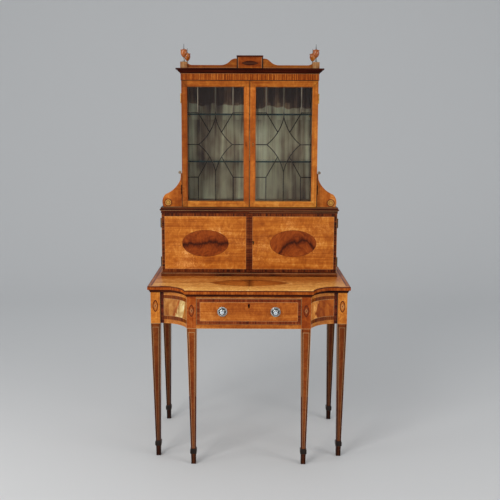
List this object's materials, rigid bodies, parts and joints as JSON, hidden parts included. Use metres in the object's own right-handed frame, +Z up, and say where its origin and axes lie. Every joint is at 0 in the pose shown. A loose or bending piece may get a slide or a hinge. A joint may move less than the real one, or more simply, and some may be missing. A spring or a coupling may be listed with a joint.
{
  "type": "writing cabinet",
  "caption": "Satinwood writing cabinet: six-legged table with hollow corners and a drawer, a low two-door cupboard, and a glazed two-door case with shaped gallery and urn finials.",
  "frame": {"origin": "middle of the plan, on the floor", "axes": "+Z up, the front with the drawer and doors faces -Y, +X to the right seen from the front"},
  "size_m": [0.856, 0.605, 1.7735],
  "materials": {
    "satinwood": "french polished veneer",
    "rosewood": "polished dark moulding",
    "ebonised": "ebonised",
    "oak": "plain inner wood",
    "lining": "grey-green silk on board",
    "glass": "clear",
    "silver": "silvered",
    "brass": "aged brass",
    "steel": "lock bolt"
  },
  "bodies": {
    "root": {"back_lining": "lining", "back_rail": "oak", "bracket_left": "satinwood", "bracket_right": "satinwood", "case_back": "oak", "case_bottom": "oak", "case_frieze": "satinwood", "case_sides": "satinwood", "case_top": "oak", "cornice": "rosewood", "cupboard_back": "oak", "cupboard_base_moulding": "rosewood", "cupboard_bottom": "oak", "cupboard_crown": "rosewood", "cupboard_sides": "satinwood", "cupboard_top": "oak", "drawer_rail_bottom": "satinwood", "drawer_rail_top": "satinwood", "drawer_runners": "oak", "finial_blocks": "satinwood", "finials": "satinwood", "frieze_hollow_left": "satinwood", "frieze_hollow_right": "satinwood", "gallery_boards": "satinwood", "gallery_tablet": "satinwood", "glass_shelves": "glass", "hinge_frame_leaves": "brass", "leg_collars": "ebonised", "leg_inner_left": "satinwood", "leg_inner_right": "satinwood", "leg_outer_left": "satinwood", "leg_outer_right": "satinwood", "leg_rear_left": "satinwood", "leg_rear_right": "satinwood", "shelf_pegs": "brass", "side_rails": "satinwood", "table_top": "satinwood", "top_moulding": "rosewood"},
    "drawer": {"drawer_front": "satinwood", "drawer_sides": "oak", "drawer_back": "oak", "drawer_bottom": "oak", "knobs": "glass", "knob_plates": "silver", "drawer_lock": "brass"},
    "drawer_bolt": {"drawer_lock_bolt": "steel"},
    "cupboard_left_door": {"cupboard_door_left": "satinwood", "cupboard_hinge_leaves_left": "brass"},
    "cupboard_right_door": {"cupboard_door_right": "satinwood", "cupboard_door_right_brass": "brass"},
    "cupboard_bolt": {"cupboard_lock_bolt": "steel"},
    "glazed_left_door": {"glazed_frame_left": "satinwood", "glass_left": "glass", "glazing_bars_left": "brass", "glazed_door_left_brass": "brass"},
    "glazed_right_door": {"glazed_frame_right": "satinwood", "glass_right": "glass", "glazing_bars_right": "brass", "glazed_door_right_brass": "brass"},
    "glazed_bolt": {"glazed_lock_bolt": "steel"}
  },
  "joints": [
    {"name": "drawer_slide", "type": "slide", "parent": "root", "child": "drawer", "axis": [0, -1, 0], "range_m": [0, 0.32]},
    {"name": "drawer_bolt_slide", "type": "slide", "parent": "drawer", "child": "drawer_bolt", "axis": [0, 0, 1], "range_m": [0, 0.008]},
    {"name": "cupboard_left_hinge", "type": "hinge", "parent": "root", "child": "cupboard_left_door", "pos_m": [-0.3938, 0.05575, 0.9075], "axis": [0, 0, -1], "range_deg": [0, 110]},
    {"name": "cupboard_right_hinge", "type": "hinge", "parent": "root", "child": "cupboard_right_door", "pos_m": [0.3938, 0.05575, 0.9075], "axis": [0, 0, 1], "range_deg": [0, 110]},
    {"name": "cupboard_bolt_slide", "type": "slide", "parent": "cupboard_right_door", "child": "cupboard_bolt", "axis": [-1, 0, 0], "range_m": [0, 0.008]},
    {"name": "glazed_left_hinge", "type": "hinge", "parent": "root", "child": "glazed_left_door", "pos_m": [-0.3018, 0.06975, 1.342], "axis": [0, 0, -1], "range_deg": [0, 105]},
    {"name": "glazed_right_hinge", "type": "hinge", "parent": "root", "child": "glazed_right_door", "pos_m": [0.3018, 0.06975, 1.342], "axis": [0, 0, 1], "range_deg": [0, 105]},
    {"name": "glazed_bolt_slide", "type": "slide", "parent": "glazed_right_door", "child": "glazed_bolt", "axis": [-1, 0, 0], "range_m": [0, 0.008]}
  ]
}
